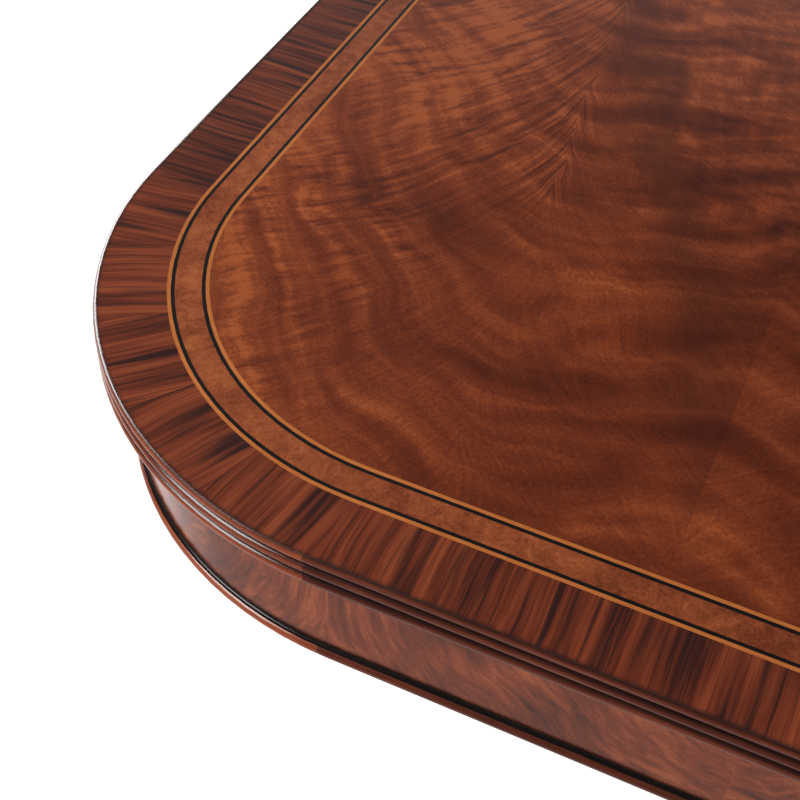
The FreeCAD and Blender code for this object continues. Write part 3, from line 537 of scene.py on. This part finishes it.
def make_leg_mahogany():
    """Grain along each leg, from the column down to the toe."""
    finish = Finish("leg_mahogany")
    side = finish.math("SIGN", finish.x)
    out_x = finish.less(COLUMN_X, finish.math("ABSOLUTE", finish.x))
    out_y = finish.times(finish.y, side, -1.0)
    reach = finish.math("SQRT", finish.sum(finish.times(out_x, out_x),
                                           finish.times(out_y, out_y)))
    angle = finish.math("ARCTAN2", out_y, out_x)
    third = 2 * math.pi / 3
    folded = finish.math("WRAP", finish.less(angle, third / 2), third / 2, -third / 2)
    across = finish.times(reach, finish.math("SINE", folded))
    slope = 0.42
    along = finish.less(reach, finish.times(finish.z, slope))
    depth = finish.sum(finish.z, finish.times(reach, slope))
    return solid_mahogany(finish, along, across, depth)


def make_block_mahogany():
    finish = Finish("block_mahogany")
    return solid_mahogany(finish, finish.x, finish.y, finish.z)


# Plain woods below the top

def plain_wood(name, dark, light, roughness):
    """Planed wood with its grain along the table, or across it in the cross rail."""
    finish = Finish(name)
    across_rail = finish.math("LESS_THAN", finish.math("ABSOLUTE", finish.x),
                              CROSS_RAIL_END)
    low = finish.math("LESS_THAN", finish.z, BOARD_BOTTOM)
    turned = finish.times(across_rail, low) if name == "planed_poplar" else 0.0
    straight = finish.less(1.0, turned)
    along = finish.sum(finish.times(finish.x, straight), finish.times(finish.y, turned))
    across = finish.sum(finish.times(finish.y, straight), finish.times(finish.x, turned))
    figure = finish.streaks((along, 3.0), (across, 28.0), (finish.z, 28.0), detail=3.0,
                            roughness=0.6, twist=0.5)
    grain = finish.streaks((along, 14.0), (across, 420.0), (finish.z, 420.0), detail=3.0,
                           roughness=0.65)
    tone = finish.sum(finish.times(figure, 0.6), finish.times(grain, 0.4))
    finish.colour(finish.ramp(tone, (0.35, dark), (0.65, light)))
    finish.gloss(grain, roughness, roughness + 0.15)
    finish.relief(grain, 0.0001, 0.4)
    return finish.material


# Metals

def make_brass():
    finish = Finish("cast_brass")
    spot = finish.spot(finish.x, finish.y, finish.z)
    cloud = finish.noise(spot, 45.0, 4.0, 0.6, 0.5)
    scratch = finish.streaks((finish.x, 900.0), (finish.y, 140.0), (finish.z, 900.0),
                             roughness=0.6)
    finish.colour(finish.ramp(cloud,
                              (0.32, paint(122, 88, 44)),
                              (0.55, paint(186, 148, 84)),
                              (0.75, paint(212, 178, 112))))
    finish.shader.inputs["Metallic"].default_value = 1.0
    finish.gloss(cloud, 0.22, 0.38)
    finish.relief(scratch, 0.00004, 0.3)
    return finish.material


def make_steel():
    finish = Finish("plated_steel")
    spot = finish.spot(finish.x, finish.y, finish.z)
    cloud = finish.noise(spot, 120.0, 3.0, 0.6)
    finish.colour(finish.ramp(cloud,
                              (0.3, paint(120, 118, 112)),
                              (0.7, paint(178, 176, 170))))
    finish.shader.inputs["Metallic"].default_value = 1.0
    finish.gloss(cloud, 0.30, 0.45)
    finish.relief(cloud, 0.00004, 0.2)
    return finish.material


# Dressing the CAD nodes

FINISHES = {
    "crossband": make_rosewood(),
    "boxwood_stringing": make_line("boxwood_line", paint(162, 88, 40), paint(200, 118, 58)),
    "ebony_stringing": make_line("ebony_line", paint(12, 10, 11), paint(34, 27, 26)),
    "burl_band": make_burl(),
    "field_veneer": make_field(),
    "apron": make_frieze(),
    "ebonised_cove": make_line("ebonised_wood", paint(12, 9, 9), paint(30, 22, 20), 0.3),
    "reeded_edge": make_edge_mahogany(),
    "column": make_column_mahogany(),
    "leg": make_leg_mahogany(),
    "pedestal_block": make_block_mahogany(),
    "planed": plain_wood("planed_poplar", paint(150, 120, 82), paint(196, 168, 124), 0.55),
    "waxed": plain_wood("waxed_beech", paint(168, 126, 84), paint(208, 168, 122), 0.38),
    "brass": make_brass(),
    "steel": make_steel(),
}
FINISHES["base_bead"] = FINISHES["reeded_edge"]

KINDS = {
    "top_board": "planed", "glue_blocks": "planed", "underframe": "planed",
    "slide_rails": "waxed", "middle_rail": "waxed", "spreader": "waxed", "pins": "waxed",
    "toe_caps": "brass", "castor": "brass", "lock_": "brass", "screws": "steel",
}


def finish_of(node):
    for word, kind in KINDS.items():
        if word in node:
            return FINISHES[kind]
    for word, material in FINISHES.items():
        if word in node:
            return material
    raise ValueError("no finish for " + node)


def dress_nodes():
    for name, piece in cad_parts.items():
        piece.data.materials.clear()
        piece.data.materials.append(finish_of(name))


# Floor, light and camera

FLAT_PARTS = ("crossband", "stringing", "burl_band", "field_veneer")


def make_floor():
    """Pale paper, which the dark side of the studio dims in the table's reflections."""
    reach = 40
    mesh = bpy.data.meshes.new("floor")
    corners = [(x * reach, y * reach, 0) for x, y in ((-1, -1), (1, -1), (1, 1), (-1, 1))]
    mesh.from_pydata(corners, [], [(0, 1, 2, 3)])
    floor = bpy.data.objects.new("floor", mesh)
    bpy.context.scene.collection.objects.link(floor)
    finish = Finish("pale_floor")
    cloud = finish.noise(finish.spot(finish.x, finish.y), 1.5, 2.0)
    paper = finish.ramp(cloud, (0.3, paint(250, 250, 250)), (0.7, paint(252, 252, 252)))
    dimmest, first_rise, second_rise = 0.06, (-2.2, -1.3), (-0.8, -0.1)
    level = finish.sum(finish.times(finish.step(finish.y, *first_rise), 0.22),
                       finish.times(finish.step(finish.y, *second_rise), 0.78), dimmest)
    dimmed = finish.add("ShaderNodeCombineColor", {0: level, 1: level, 2: level}).outputs[0]
    rays = finish.add("ShaderNodeLightPath").outputs
    finish.colour(finish.mix(rays["Is Glossy Ray"], paper, dimmed))
    glow = finish.mix(rays["Is Camera Ray"], paint(120, 120, 120), paper)
    finish.feed(finish.shader.inputs["Emission Color"],
                finish.mix(rays["Is Glossy Ray"], glow, dimmed))
    finish.shader.inputs["Emission Strength"].default_value = 0.5
    finish.shader.inputs["Roughness"].default_value = 0.9
    finish.shader.inputs["Specular IOR Level"].default_value = 0.0
    mesh.materials.append(finish.material)


def make_world():
    """A white studio. Reflections find its dark ceiling over a pale backdrop.

    A dimmer panel stands behind and to the left.
    """
    world = bpy.data.worlds.new("studio")
    bpy.context.scene.world = world
    world.use_nodes = True
    tree = world.node_tree
    background = tree.nodes["Background"]

    def add(kind, links, **settings):
        node = tree.nodes.new(kind)
        for key, setting in settings.items():
            setattr(node, key, setting)
        for key, value in links.items():
            if isinstance(value, bpy.types.NodeSocket):
                tree.links.new(value, node.inputs[key])
            else:
                node.inputs[key].default_value = value
        return node

    def step(value, low, high):
        return add("ShaderNodeMapRange", {0: value, 1: low, 2: high},
                   interpolation_type="SMOOTHSTEP").outputs[0]

    def times(first, second):
        return add("ShaderNodeMath", {0: first, 1: second}, operation="MULTIPLY").outputs[0]

    def mix(share, first, second):
        return add("ShaderNodeMix", {0: share, 6: first, 7: second},
                   data_type="RGBA").outputs[2]

    rays = add("ShaderNodeLightPath", {}).outputs
    toward = add("ShaderNodeTexCoord", {}).outputs["Generated"]
    x, y, z = add("ShaderNodeSeparateXYZ", {0: toward}).outputs
    behind = step(y, -0.1, 0.3)
    backdrop = times(step(z, 0.66, 0.12), behind)
    panel = times(step(x, -0.08, -0.44), behind)
    mirrored = mix(backdrop, mix(panel, CEILING, PANEL), BACKDROP)
    lit = mix(rays["Is Camera Ray"], SOFT_GREY, WHITE)
    colour = mix(rays["Is Glossy Ray"], lit, mirrored)
    tree.links.new(colour, background.inputs["Color"])
    background.inputs["Strength"].default_value = 1.0


def make_softbox(name, spot, size, power, diffuse=True, glossy=True):
    lamp = bpy.data.lights.new(name, "AREA")
    lamp.shape = "RECTANGLE"
    lamp.size, lamp.size_y = size
    lamp.energy = power
    box = bpy.data.objects.new(name, lamp)
    box.location = spot
    aim = LAMPS_AIM - Vector(spot)
    box.rotation_euler = aim.to_track_quat("-Z", "Y").to_euler()
    box.visible_camera = False
    box.visible_diffuse = diffuse
    box.visible_glossy = glossy
    bpy.context.scene.collection.objects.link(box)
    return box


def make_key_light():
    """The main lamp, as one lamp that only lights and one that is only mirrored.

    The shaped parts alone mirror it, which keeps its glare off the flat top. Another
    such lamp draws the bright line along the rim.
    """
    make_softbox("key_light", **KEY_LIGHT, glossy=False)
    shine = make_softbox("key_shine", **KEY_SHINE, diffuse=False)
    rim_shine = make_softbox("rim_shine", **RIM_SHINE, diffuse=False)
    shaped = bpy.data.collections.new("shaped_parts")
    for name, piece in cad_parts.items():
        if not any(word in name for word in FLAT_PARTS):
            shaped.objects.link(piece)
    shine.light_linking.receiver_collection = shaped
    rim_shine.light_linking.receiver_collection = shaped


def make_camera():
    yaw, pitch, roll = map(math.radians, (CAMERA_YAW, CAMERA_PITCH, CAMERA_ROLL))
    ahead = Vector((math.cos(pitch) * math.cos(yaw), math.cos(pitch) * math.sin(yaw),
                    -math.sin(pitch)))
    level = ahead.cross(Vector((0, 0, 1))).normalized()
    upright = level.cross(ahead)
    right = level * math.cos(roll) - upright * math.sin(roll)
    up = level * math.sin(roll) + upright * math.cos(roll)
    lens = bpy.data.cameras.new("camera")
    lens.sensor_width = SENSOR
    lens.lens = FOCAL_PIXELS / IMAGE_WIDTH * SENSOR
    lens.clip_start = CLIP_START
    camera = bpy.data.objects.new("camera", lens)
    turn = Matrix((right, up, -ahead)).transposed().to_4x4()
    camera.matrix_world = Matrix.Translation(CAMERA_SPOT) @ turn
    bpy.context.scene.collection.objects.link(camera)
    bpy.context.scene.camera = camera


dress_nodes()
make_floor()
make_world()
make_key_light()
make_softbox("fill_light", **FILL_LIGHT)
make_camera()
bpy.context.scene.view_settings.view_transform = "Standard"
